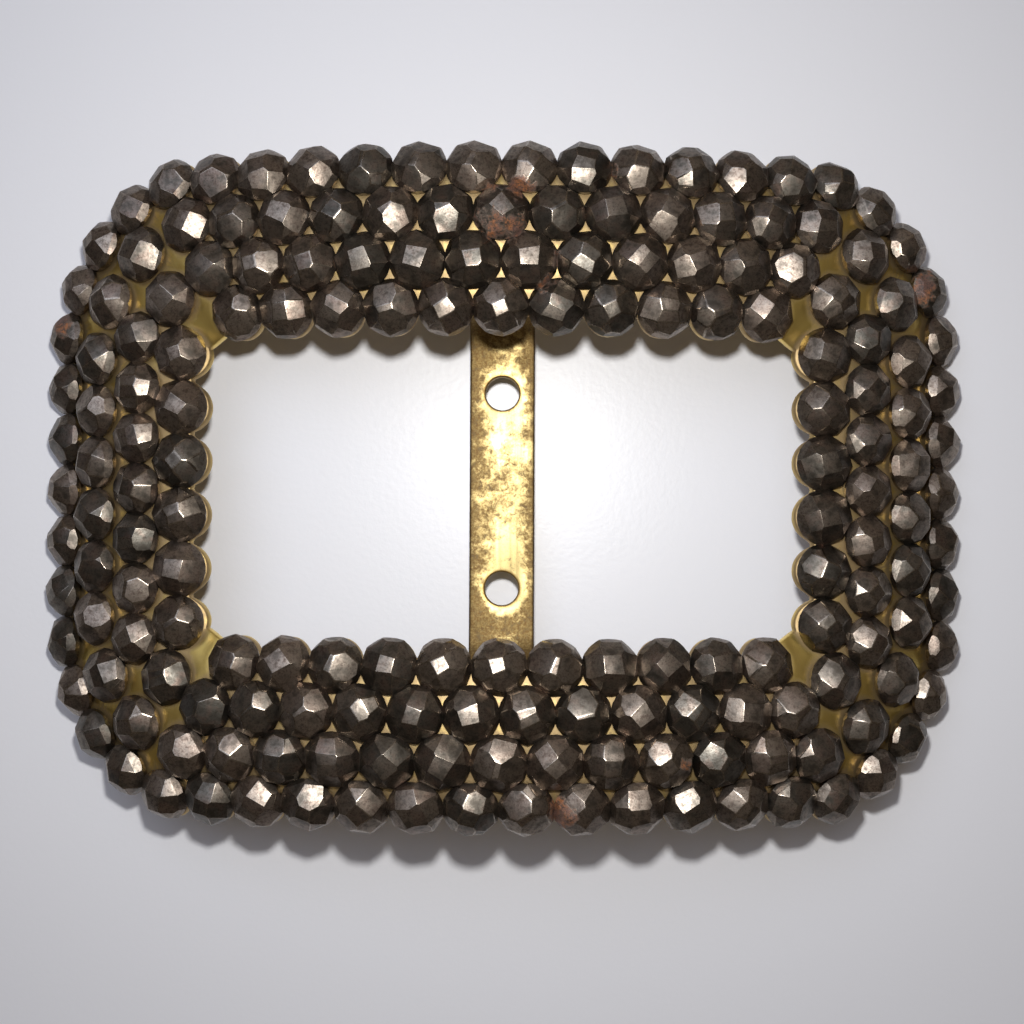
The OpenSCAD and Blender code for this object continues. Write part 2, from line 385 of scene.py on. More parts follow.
def seating_tree():
    """Geometry Nodes tree that sets a cut piece, chosen by chance, on every seat."""
    tree, node, start = new_tree("Set on seats", {
        "Seats": "Geometry", "Cut pieces": "Collection", "Kinds": "Int", "Seed": "Int", "Finish": "Material"})
    cuts = node("GeometryNodeCollectionInfo", {
        "Collection": start["Cut pieces"], "Separate Children": True, "Reset Children": True})
    pick = node("FunctionNodeRandomValue", {
        "Min_002": 0, "Max_002": start["Kinds"], "Seed": start["Seed"]}, data_type="INT")
    turn, size = (
        node("GeometryNodeInputNamedAttribute", {"Name": name}, data_type=kind)
        for name, kind in (("seat_turn", "QUATERNION"), ("seat_size", "FLOAT")))
    placed = node("GeometryNodeInstanceOnPoints", {
        "Points": start["Seats"], "Instance": cuts, "Pick Instance": True, "Instance Index": pick,
        "Rotation": turn, "Scale": size})
    tone = node("FunctionNodeRandomValue", {"Seed": start["Seed"]}, data_type="FLOAT")
    toned = node("GeometryNodeStoreNamedAttribute", {
        "Geometry": placed, "Name": "stud_tone", "Value": tone}, data_type="FLOAT", domain="INSTANCE")
    end_tree(node, toned, start["Finish"])
    return tree


def box_of_cuts(name, cuts):
    """A collection that holds the cut pieces while they are set on their seats."""
    box = bpy.data.collections.new(name)
    for i, mesh in enumerate(cuts):
        box.objects.link(bpy.data.objects.new(f"{name}_{i:02d}", mesh))
    return box


def empty_box(box):
    """Removes the cut pieces once they are set. An object goes with its mesh."""
    for cut in list(box.objects):
        bpy.data.meshes.remove(cut.data)
    bpy.data.collections.remove(box)


GIRDLE_SIDES = 24
WAIST_EDGES = 8
TABLE_EDGES = 4
# Chances, each as likely as the next, for how many more low facets a cut has
EXTRA_EDGES = (0, 0, 1, 2)
# Distance from the axis of the girdle under a low facet's middle, and its height, as shares of the radius
GIRDLE = (1.0, 0.12)
# Radius of the underside where it meets the sheet, and how fast it widens upwards
FOOT, FLARE = 0.955, 0.3
# As shares of the table's: distance from the axis of a corner facet's top, and width of a ridge
CORNER_CLEAR, RIDGE = 1.12, 0.2
# The tops of the cuts, in turn: a square table, a ridge like a roof's, or two tables that meet in a low ridge
CRESTS = ("roof", "table", "double", "table", "table")
# Pitch in degrees of two tables that meet
LOW_PITCH, HIGH_PITCH = 6, 11
# How far the hand strays: turn and lean of a facet, lean of a table and turn of a double one, in degrees, and
# as shares the depth of a low facet, of a high one and of the table, and the table's size
TURN_STRAY, LEAN_STRAY, TABLE_LEAN, DOUBLE_TURN = 3.2, 2.6, 4.5, 4
LOW_SLIP, HIGH_SLIP, TABLE_SLIP, TABLE_STRAY = 0.008, 0.016, 0.015, 0.16
# As shares of the radius: a corner this near to a cut lies on it, and ground corners nearer than this are one
ON_CUT, SHORT_EDGE = 1e-5, 0.03
# Edges above this many heights of the waist are worn, where facets meet at more than the angle
WORN_ABOVE = 1.2
WORN_ANGLE = radians(5)


def grind(stud, turn, lean, reach):
    """Grinds one flat facet: takes off all beyond a plane that faces that way, and closes the cut."""
    facing = Vector((sin(lean) * cos(turn), sin(lean) * sin(turn), cos(lean)))
    cut = bmesh.ops.bisect_plane(
        stud, geom=stud.verts[:] + stud.edges[:] + stud.faces[:], dist=ON_CUT, plane_co=facing * reach,
        plane_no=facing, clear_outer=True)["geom_cut"]
    edges = [e for e in cut if isinstance(e, bmesh.types.BMEdge)]
    if edges:
        bmesh.ops.contextual_create(stud, geom=edges)


def facet_plane(near, high, far, low):
    """Lean and reach of the plane through two heights at two distances from the axis."""
    lean = atan2(high - low, far - near)
    return lean, sin(lean) * near + cos(lean) * high


def grind_table(stud, looks, chance, crest):
    """Grinds the table square to the axis, or two tables that meet in a low ridge."""
    stray = looks.unevenness
    if crest == "double":
        pitch = radians(chance.uniform(LOW_PITCH, HIGH_PITCH))
        facing = chance.choice((0, tau / 4)) + pi / 4
        for turn in (facing, facing + pi):
            slip = radians(chance.gauss(0, DOUBLE_TURN)) * stray
            grind(stud, turn + slip, pitch, looks.height * cos(pitch))
    else:
        grind(
            stud, chance.uniform(0, tau), radians(abs(chance.gauss(0, TABLE_LEAN))) * stray,
            looks.height * (1 - abs(chance.gauss(0, TABLE_SLIP)) * stray))


def cut_stud(looks, chance, name, crest):
    """One stud of radius 1, ground facet by facet, with the upper edges worn round.

    It has eight to ten low facets, four at the table's corners, four on its sides, and the table.
    """
    stud = bmesh.new()
    bmesh.ops.create_cone(
        stud, cap_ends=True, segments=GIRDLE_SIDES, radius1=FOOT, radius2=FOOT + FLARE * 2 * looks.height,
        depth=2 * looks.height, matrix=Matrix.Translation((0, 0, looks.height)))
    stray = looks.unevenness
    table = looks.table_half * (1 + chance.uniform(-TABLE_STRAY, TABLE_STRAY) * stray)
    side = table * cos(pi / 4)
    waist = (looks.waist, looks.waist_height)
    corner, flat, ridge = ((at, looks.height) for at in (table * CORNER_CLEAR, side, side * RIDGE))
    low_count = WAIST_EDGES + chance.choice(EXTRA_EDGES)
    planes = [(i / low_count, waist, GIRDLE, LOW_SLIP) for i in range(low_count)]
    planes += [(i / TABLE_EDGES, corner, waist, HIGH_SLIP) for i in range(TABLE_EDGES)]
    planes += [((i + 0.5) / TABLE_EDGES, ridge if crest == "roof" and i % 2 else flat, waist, HIGH_SLIP)
               for i in range(TABLE_EDGES)]
    for at, inner, outer, slip in planes:
        lean, reach = facet_plane(*inner, *outer)
        grind(
            stud, at * tau + radians(chance.gauss(0, TURN_STRAY)) * stray,
            lean + radians(chance.gauss(0, LEAN_STRAY)) * stray, reach + chance.gauss(0, slip) * stray)
    grind_table(stud, looks, chance, crest)
    bmesh.ops.remove_doubles(stud, verts=stud.verts, dist=SHORT_EDGE)
    bmesh.ops.recalc_face_normals(stud, faces=stud.faces)
    upper = looks.waist_height * WORN_ABOVE
    worn = [e for e in stud.edges if max(v.co.z for v in e.verts) > upper and e.is_manifold
            and e.calc_face_angle() > WORN_ANGLE]
    strips = set(bmesh.ops.bevel(
        stud, geom=worn, offset=looks.edge_round, offset_type="OFFSET", segments=1, profile=0.5,
        affect="EDGES", clamp_overlap=True)["faces"])
    stud.normal_update()
    normals, wear, tones = [], [], []
    for face in stud.faces:
        wear.append(1.0 if face in strips else 0.0)
        tones.append(chance.random())
        for loop in face.loops:
            # A corner of a worn edge takes its normal from the widest facet beside it
            flats = [f for f in loop.vert.link_faces if f not in strips] if face in strips else [face]
            flat = max(flats, key=lambda f: f.calc_area()) if flats else face
            bend = (loop.vert.co - flat.calc_center_median()) * looks.pillow
            normals.append(tuple((flat.normal + bend).normalized()))
    mesh = mesh_of(stud, name)
    mesh.normals_split_custom_set(normals)
    store(mesh, "edge_wear", "FLOAT", wear, "FACE")
    store(mesh, "facet_tone", "FLOAT", tones, "FACE")
    store(mesh, "stud_at", "FLOAT_VECTOR", [tuple(v.co) for v in mesh.vertices])
    return mesh


def stud_sizes(studs, looks):
    """Radius of each stud, grown until it meets its neighbours in the row and laps those of the next row."""
    def reach(row, here):
        return min(
            (here - s["seat"]).length / 2 + (looks.touch if other is row else looks.lap)
            for other in studs.values() for s in other if s["seat"] is not here)

    return {
        name: [min(s["radius"] * looks.width_share, reach(row, s["seat"])) for s in row]
        for name, row in studs.items()}


def lapped(stud, rail, tilt):
    """The stud turned a little outwards, so that its inner edge lies over the next row in."""
    way = rail.offset(np.array([rail.flat(stud)]))[1][0]
    outward = Vector((*way, 0))
    outward -= stud["axis"] * outward.dot(stud["axis"])
    axis = (stud["axis"] + outward.normalized() * tan(tilt)).normalized()
    side = stud["side"] - axis * stud["side"].dot(axis)
    return {**stud, "axis": axis, "side": side.normalized()}


# Patches of rust: place along X and Y and reach in mm, and how thick the rust is in the middle
RUSTY = (
    (-35.8, 13.1, 1.7, 2.1), (34.2, 16.3, 2.6, 1.6), (0, 19.8, 2.8, 1.7), (-0.3, 21.7, 1.2, 1.5),
    (1.5, 22.3, 1.6, 1.65), (5.0, -23.9, 1.9, 2.15), (13.5, -20.4, 1.2, 1.7), (-1.1, 21.9, 1.0, 1.5),
    (3.5, 14.4, 1.7, 1.4), (3.7, 16.6, 1.2, 1.5), (8.3, 23.3, 1.2, 1.4),
)


def rust_on(mesh):
    """Marks how rusty the studs are at each point, from the patches of rust."""
    points = np.empty(len(mesh.vertices) * 3, np.float32)
    mesh.vertices.foreach_get("co", points)
    points = points.reshape(-1, 3) / MM
    rust = np.zeros(len(points))
    for x, y, reach, thickness in RUSTY:
        off = np.hypot(points[:, 0] - x, points[:, 1] - y) / reach
        rust = np.maximum(rust, thickness * (1 - off ** 2))
    store(mesh, "rust", "FLOAT", rust)


def cut_steel(looks):
    """Cut steel: mild steel, ground and polished facet by facet, with a patina of age.

    To the eye it is a dark warm metal with fairly sharp, mottled reflections, brighter on worn edges, with
    grainy red-brown rust in patches on a few studs.
    """
    material, node, place = new_material("Cut steel, ground and aged")
    tone, facet, wear, rusty = (
        node("Attribute", attribute_name=name).outputs["Fac"]
        for name in ("stud_tone", "facet_tone", "edge_wear", "rust"))
    local = node("Attribute", attribute_name="stud_at").outputs["Vector"]
    # Width in mm of the stains, oxide pits, blotches of patina, swells in a facet, and patches of rust
    stains, pits, blotch, swell, patch = (
        node("TexNoise", {"Vector": place, "Scale": 1 / (width * MM), "Detail": detail, "Roughness": rough})
        for width, detail, rough in (
            (0.9, 3.0, 0.6), (0.13, 2.0, 0.65), (0.35, 6.0, 0.68), (1.3, 1.0, 0.5), (1.4, 8.0, 0.7)))
    # The patina is thinner on some studs and facets than on others, grey or brown, and thinnest on worn edges
    thin = node("Math", {0: tone, 1: facet}, operation="ADD")
    thin = node("Math", {0: thin, 1: stains}, operation="ADD")
    thin = node("MapRange", {"Value": thin, "From Min": 0.7, "From Max": 2.1, "To Max": 0.75})
    uneven = node("MapRange", {
        "Value": blotch, "From Min": 0.36, "From Max": 0.64, "To Min": 0.6, "To Max": 1.2})
    thin = node("Math", {0: thin, 1: uneven}, operation="MULTIPLY")
    rubbed = node("Math", {0: wear, 1: 0.45, 2: thin}, operation="MULTIPLY_ADD", use_clamp=True)
    browned = node("Math", {0: tone, 1: 0.3, 2: stains}, operation="MULTIPLY_ADD")
    # Dark oxide lies in the pits, in blotches and in broad stains
    covered = node("MapRange", {"Value": pits, "From Min": 0.52, "From Max": 0.7, "To Max": 0.6})
    for noise, none, most, depth in ((blotch, 0.49, 0.36, 0.55), (stains, 0.47, 0.34, 0.5)):
        part = node("MapRange", {"Value": noise, "From Min": none, "From Max": most, "To Max": depth})
        covered = node("Math", {0: covered, 1: part}, operation="MAXIMUM")
    # Rust sits low, where damp stays, in patches with clear edges
    height = node("SeparateXYZ", {0: local}).outputs["Z"]
    low = node("MapRange", {
        "Value": height, "From Min": 0.8, "From Max": 0.4, "To Min": -0.48, "To Max": -0.16})
    patch = node("Math", {0: patch, 1: 1.4, 2: low}, operation="MULTIPLY_ADD")
    amount = node("Math", {0: rusty, 1: 0.5, 2: patch}, operation="MULTIPLY_ADD")
    rusted = node("MapRange", {"Value": amount, "From Min": 0.96, "From Max": 1.14, "To Max": 0.86})
    grains = node("Math", {0: pits, 1: blotch}, operation="ADD")
    browned, grains, aged = (
        node("MapRange", {"Value": value, "From Min": start, "From Max": stop})
        for value, start, stop in ((browned, 0.5, 0.85), (grains, 0.82, 1.16), (stains, 0.4, 0.6)))
    powder = node("Mix", {
        "Factor_Float": aged, "A_Color": looks.rust, "B_Color": shade("#66463c")}, data_type="RGBA")
    powder = node("Mix", {
        "Factor_Float": grains, "A_Color": shade("#33231b"), "B_Color": powder}, data_type="RGBA")
    colour = looks.dark
    for part, over in (
            (browned, looks.brown), (rubbed, looks.bright), (covered, shade("#2f2720")), (rusted, powder)):
        colour = node("Mix", {"Factor_Float": part, "A_Color": colour, "B_Color": over}, data_type="RGBA")
    metal = node("Math", {0: 1.0, 1: rusted}, operation="SUBTRACT")
    rough = node("MapRange", {
        "Value": blotch, "From Min": 0.3, "From Max": 0.7, "To Min": 0.45, "To Max": 0.33})
    for part, change in ((wear, -0.12), (rusted, 0.2)):
        rough = node("Math", {0: part, 1: change, 2: rough}, operation="MULTIPLY_ADD")
    grain = node("Math", {0: rusted, 1: 4.0, 2: 1.0}, operation="MULTIPLY_ADD")
    relief = node("Math", {0: pits, 1: grain}, operation="MULTIPLY")
    relief = node("Math", {0: stains, 1: 1.5, 2: relief}, operation="MULTIPLY_ADD")
    uneven = node("Bump", {"Strength": 1.0, "Distance": 0.05 * MM, "Height": swell})
    bump = node("Bump", {"Strength": 0.4, "Distance": 0.014 * MM, "Height": relief, "Normal": uneven})
    return surfaced(material, node, colour, rough, bump, metal)


class BUCKLE_OT_studs(Operator):
    """Set a ground steel stud on every seat, a piece for each row"""

    bl_idname = "buckle.set_studs"
    bl_label = "Set the studs"

    def execute(self, context):
        looks = context.scene.stud_looks
        chance = random.Random(looks.seed)
        cuts = box_of_cuts("stud_cut", [
            cut_stud(looks, chance, f"cut_{i:02d}", CRESTS[i % len(CRESTS)]) for i in range(looks.kinds)])
        finish, tree = cut_steel(looks), seating_tree()
        studs = {name: read_studs(name) for name in STUD_NODES}
        sizes, rail = stud_sizes(studs, looks), Rail(context.scene.sheet_looks, studs)
        for i, name in enumerate(STUD_NODES):
            turned = [lapped(s, rail, looks.lap_tilt) for s in studs[name]]
            row = seat_points("steel_" + name, turned, sizes=sizes[name])
            run_tree(row, tree, {
                "Cut pieces": cuts, "Kinds": looks.kinds - 1, "Seed": looks.seed + i, "Finish": finish})
            rust_on(row.data)
            hand_over(row, "cut_steel", name)
        empty_box(cuts)
        return {"FINISHED"}


# Columns of points round the frame, rows of them across a rail, and points on a scallop
COLUMNS, ROWS_ACROSS, LOBE_STEPS = 760, 38, 15
# How much of a scallop's arc is left out at each cusp
CUSP_TRIM = radians(18)
# Width of the rim's rounding, and how near its middle lies to edge and face, as a share of that width
RIM_ROUND = 0.12 * MM
RIM_BEND = 0.3


class Rail:
    """The rule that the sheet follows: a rounded rectangle for the rails' middle line, domed and arched."""

    def __init__(self, looks, studs):
        self.arch, self.dome, self.corner = looks.arch_radius, looks.dome_radius, looks.corner_radius
        self.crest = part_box("back_plate")[1].z
        outer = [self.flat(s) for s in studs["second_studs"]]
        inner = [self.flat(s) for s in studs["third_studs"]]
        half_w, half_h = ((max(p[k] for p in outer) + max(p[k] for p in inner)) / 2 for k in (0, 1))
        # Half lengths of the middle line's straight runs
        self.straights = half_w - self.corner, half_h - self.corner

    def flat(self, stud):
        """Place of a stud on the flat sheet."""
        seat = stud["seat"]
        return self.arch * atan2(seat.x, seat.z - self.crest + self.arch), seat.y

    def offset(self, p):
        """Distance of flat points from the middle line, outwards positive, and its direction."""
        q = np.abs(p) - self.straights
        out = np.maximum(q, 0)
        away = np.linalg.norm(out, axis=1)
        dist = away + np.minimum(q.max(axis=1), 0) - self.corner
        straight = np.where(q[:, :1] > q[:, 1:], [1.0, 0.0], [0.0, 1.0])
        corner = out / np.maximum(away, TINY)[:, None]
        way = np.where((q.min(axis=1) > 0)[:, None], corner, straight) * np.sign(p + TINY)
        return dist, way

    def share(self, p):
        """How far round the middle line a flat point lies, from 0 to 1."""
        w, h = self.straights
        arc = self.corner * pi / 2
        quarter = w + h + arc
        x, y = abs(p[0]), abs(p[1])
        if x > w and y > h:
            along = w + self.corner * (pi / 2 - atan2(y - h, x - w))
        elif x <= w and (y > h or y / h > x / w):
            along = x
        else:
            along = w + arc + h - y
        upper = p[1] >= 0
        if p[0] >= 0:
            at = along if upper else 2 * quarter - along
        else:
            at = 4 * quarter - along if upper else 2 * quarter + along
        return at / (4 * quarter)

    def place(self, p, height):
        """Flat points set on the domed and arched sheet, and the direction out of its face."""
        s, way = self.offset(p)
        radius = self.arch + np.sqrt(self.dome ** 2 - s ** 2) - self.dome + height
        turn = p[:, 0] / self.arch
        points = np.stack([
            radius * np.sin(turn), p[:, 1], radius * np.cos(turn) - self.arch + self.crest], 1)
        lean = np.arcsin(s / self.dome)
        n = np.concatenate([way * np.sin(lean)[:, None], np.cos(lean)[:, None]], axis=1)
        outward = np.stack([
            n[:, 0] * np.cos(turn) + n[:, 2] * np.sin(turn), n[:, 1],
            n[:, 2] * np.cos(turn) - n[:, 0] * np.sin(turn)], 1)
        return points, outward


def scallops(rail, studs, lobe, outside):
    """Scalloped outline round a row of studs, as columns of flat points evenly spaced round the frame."""
    flat = sorted((rail.flat(s) for s in studs), key=rail.share)
    outline = []
    for i, here in enumerate(flat):
        last, following = flat[i - 1], flat[(i + 1) % len(flat)]
        back = atan2(last[1] - here[1], last[0] - here[0])
        ahead = atan2(following[1] - here[1], following[0] - here[0])
        sweep = -((back - ahead) % tau) if outside else (ahead - back) % tau
        trim = copysign(CUSP_TRIM, sweep)
        for k in range(LOBE_STEPS):
            a = back + trim + (sweep - 2 * trim) * k / (LOBE_STEPS - 1)
            outline.append((here[0] + lobe * cos(a), here[1] + lobe * sin(a)))
    outline = np.array(outline)
    shares = np.array([rail.share(p) for p in outline])
    order = np.argsort(shares, kind="stable")
    shares, outline = shares[order], outline[order]
    at = np.arange(COLUMNS) / COLUMNS
    return np.stack([np.interp(at, shares, outline[:, k], period=1.0) for k in (0, 1)], 1)


def pressed_sheet(looks, studs):
    """The brass sheet without its seats: a closed band from the outer scallops in, round the rim and back."""
    rail = Rail(looks, studs)
    outer = scallops(rail, studs["outer_studs"], looks.outer_lobe, True)
    inner = scallops(rail, studs["inner_studs"], looks.window_lobe, False)
    across = np.linalg.norm(outer - inner, axis=1)[:, None]
    inset = RIM_ROUND / across
    steps = [inset * RIM_BEND, inset]
    steps += [inset + (1 - 2 * inset) * k / ROWS_ACROSS for k in range(1, ROWS_ACROSS)]
    steps += [1 - inset, 1 - inset * RIM_BEND]
    deep, last = looks.thickness, len(steps) - 1
    near, far = RIM_ROUND * RIM_BEND, deep - RIM_ROUND * RIM_BEND
    section = [(s, 0.0 if 0 < i < last else -near) for i, s in enumerate(steps)]
    section += [(1.0, -RIM_ROUND), (1.0, RIM_ROUND - deep)]
    section += [(s, -deep if 0 < i < last else -far) for i, s in reversed(list(enumerate(steps)))]
    section += [(0.0, RIM_ROUND - deep), (0.0, -RIM_ROUND)]
    points, outward = [], []
    for step, height in section:
        here, out = rail.place(outer * (1 - step) + inner * step, height)
        points.append(here)
        outward.append(out)
    n, rows = COLUMNS, len(section)
    faces = [
        (r * n + c, r * n + (c + 1) % n, (r + 1) % rows * n + (c + 1) % n, (r + 1) % rows * n + c)
        for r in range(rows) for c in range(n)]
    mesh = plain_mesh("brass_sheet", np.concatenate(points), faces)
    store(mesh, "outward", "FLOAT_VECTOR", np.concatenate(outward))
    return mesh


def pressing_tree():
    """Geometry Nodes tree that raises the sheet wherever it lies away from a stud's seat."""
    tree, node, start = new_tree("Press seats", {
        "Sheet": "Geometry", "Seats": "Object", "Seat radius": "Float", "Ridge height": "Float",
        "Ridge run": "Float", "Finish": "Material"})
    seats = node("GeometryNodeObjectInfo", {"Object": start["Seats"]}).outputs["Geometry"]
    near = node("GeometryNodeProximity", {"Geometry": seats}, target_element="POINTS").outputs["Distance"]
    brim = node("Math", {0: start["Seat radius"], 1: start["Ridge run"]}, operation="ADD")
    rise = node("MapRange", {
        "Value": near, "From Min": start["Seat radius"], "From Max": brim}, interpolation_type="SMOOTHSTEP")
    marked = node("GeometryNodeStoreNamedAttribute", {
        "Geometry": start["Sheet"], "Name": "ridge", "Value": rise}, data_type="FLOAT", domain="POINT")
    outward, ridge = (
        node("GeometryNodeInputNamedAttribute", {"Name": name}, data_type=kind)
        for name, kind in (("outward", "FLOAT_VECTOR"), ("ridge", "FLOAT")))
    height = node("Math", {0: ridge, 1: start["Ridge height"]}, operation="MULTIPLY")
    move = node("VectorMath", {0: outward, "Scale": height}, operation="SCALE")
    pressed = node("GeometryNodeSetPosition", {"Geometry": marked, "Offset": move})
    end_tree(node, pressed, start["Finish"])
    return tree


def sheet_brass(looks):
    """Yellow brass sheet, rolled, pressed in a die and left to dull.

    To the eye it is ochre and satiny, yellower on the ridges between the studs, with brown tarnish in the
    hollows.
    """
    material, node, place = new_material("Sheet brass, pressed and dulled")
    ridge = node("Attribute", attribute_name="ridge").outputs["Fac"]
    # Tarnish in clouds 2 mm wide, with a rolled grain 0.12 mm wide
    clouds, grain = (
        node("TexNoise", {"Vector": place, "Scale": 1 / (width * MM), "Detail": detail, "Roughness": rough})
        for width, detail, rough in ((2.0, 5.0, 0.62), (0.12, 2.0, 0.6)))
    clean = node("Math", {0: ridge, 1: 0.6, 2: clouds}, operation="MULTIPLY_ADD")
    clean = node("MapRange", {"Value": clean, "From Min": 0.55, "From Max": 1.1})
    colour = node("Mix", {
        "Factor_Float": clean, "A_Color": looks.dull, "B_Color": looks.bright}, data_type="RGBA")
    rough = node("MapRange", {"Value": clean, "To Min": 0.58, "To Max": 0.36})
    bump = node("Bump", {"Strength": 0.5, "Distance": 0.012 * MM, "Height": grain})
    return surfaced(material, node, colour, rough, bump)


class BUCKLE_OT_sheet(Operator):
    """Form the brass sheet on the frame's rule and press the studs' seats into it"""

    bl_idname = "buckle.press_sheet"
    bl_label = "Press the sheet"

    def execute(self, context):
        looks = context.scene.sheet_looks
        studs = {name: read_studs(name) for name in STUD_NODES}
        sheet = new_object("brass_sheet", pressed_sheet(looks, studs))
        seats = seat_points("seats", [s for row in studs.values() for s in row])
        run_tree(sheet, pressing_tree(), {
            "Seats": seats, "Seat radius": looks.seat_radius, "Ridge height": looks.ridge_height,
            "Ridge run": looks.ridge_run, "Finish": sheet_brass(looks)})
        bpy.data.meshes.remove(seats.data)
        hand_over(sheet, "sheet_brass", "back_plate")
        return {"FINISHED"}


TAIL_SIDES = 12
# Profile of a tail, from its foot to its struck top: radius, and height as a share of the whole
TAIL_PROFILE = ((1.0, 0.0), (0.97, 0.35), (0.78, 0.78), (0.42, 1.0))
# How far a tail stands off the sheet, and the length of each end of the bar that lies against the sheet
TAIL_GAP = 0.06 * MM
BAR_END = 6.5 * MM


def hammered_tail(looks):
    """A rivet's tail of radius 1, set down with a hammer: a low dome with a flat struck top."""
    rise, n = looks.height / looks.radius, TAIL_SIDES
    points = [(r * cos(a), r * sin(a), z * rise)
              for r, z in TAIL_PROFILE for a in (i * tau / n for i in range(n))]
    top = (len(TAIL_PROFILE) - 1) * n
    faces = [(k + i, k + (i + 1) % n, k + n + (i + 1) % n, k + n + i)
             for k in range(0, top, n) for i in range(n)]
    faces += [tuple(range(top, top + n)), tuple(range(n - 1, -1, -1))]
    return plain_mesh("tail", points, faces)


def tail_iron():
    """Soft iron rivet tails, hammered down over the sheet's back and never polished.

    To the eye they are dark, matt and dimpled.
    """
    material, node, place = new_material("Iron rivet tails, hammered")
    # Dents 0.5 mm wide
    dents = node("TexNoise", {"Vector": place, "Scale": 1 / (0.5 * MM), "Detail": 4.0, "Roughness": 0.6})
    colour = node("Mix", {
        "Factor_Float": dents, "A_Color": shade("#2c2621"), "B_Color": shade("#7d7064")}, data_type="RGBA")
    bump = node("Bump", {"Strength": 0.5, "Distance": 0.06 * MM, "Height": dents})
    return surfaced(material, node, colour, 0.5, bump)


class BUCKLE_OT_tails(Operator):
    """Set a hammered rivet tail behind every stud that the bar's ends leave clear"""

    bl_idname = "buckle.set_tails"
    bl_label = "Set the rivet tails"

    def execute(self, context):
        looks, sheet = context.scene.tail_looks, context.scene.sheet_looks
        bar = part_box("slider_bar")[1]

        def hidden(seat):
            """Whether the bar's end lies where this tail would be."""
            return abs(seat.x) < bar.x + looks.radius and -looks.radius < bar.y - abs(seat.y) < BAR_END

        studs = [s for name in STUD_NODES for s in read_studs(name)]
        turned = [{**s, "axis": -s["axis"]} for s in studs if not hidden(s["seat"])]
        cuts = box_of_cuts("tail_cut", [hammered_tail(looks)])
        tails = seat_points(
            "rivet_tails", turned, sheet.thickness + TAIL_GAP, [looks.radius] * len(turned))
        run_tree(tails, seating_tree(), {
            "Cut pieces": cuts, "Kinds": 0, "Seed": 0, "Finish": tail_iron()})
        empty_box(cuts)
        hand_over(tails, "cut_steel")
        return {"FINISHED"}


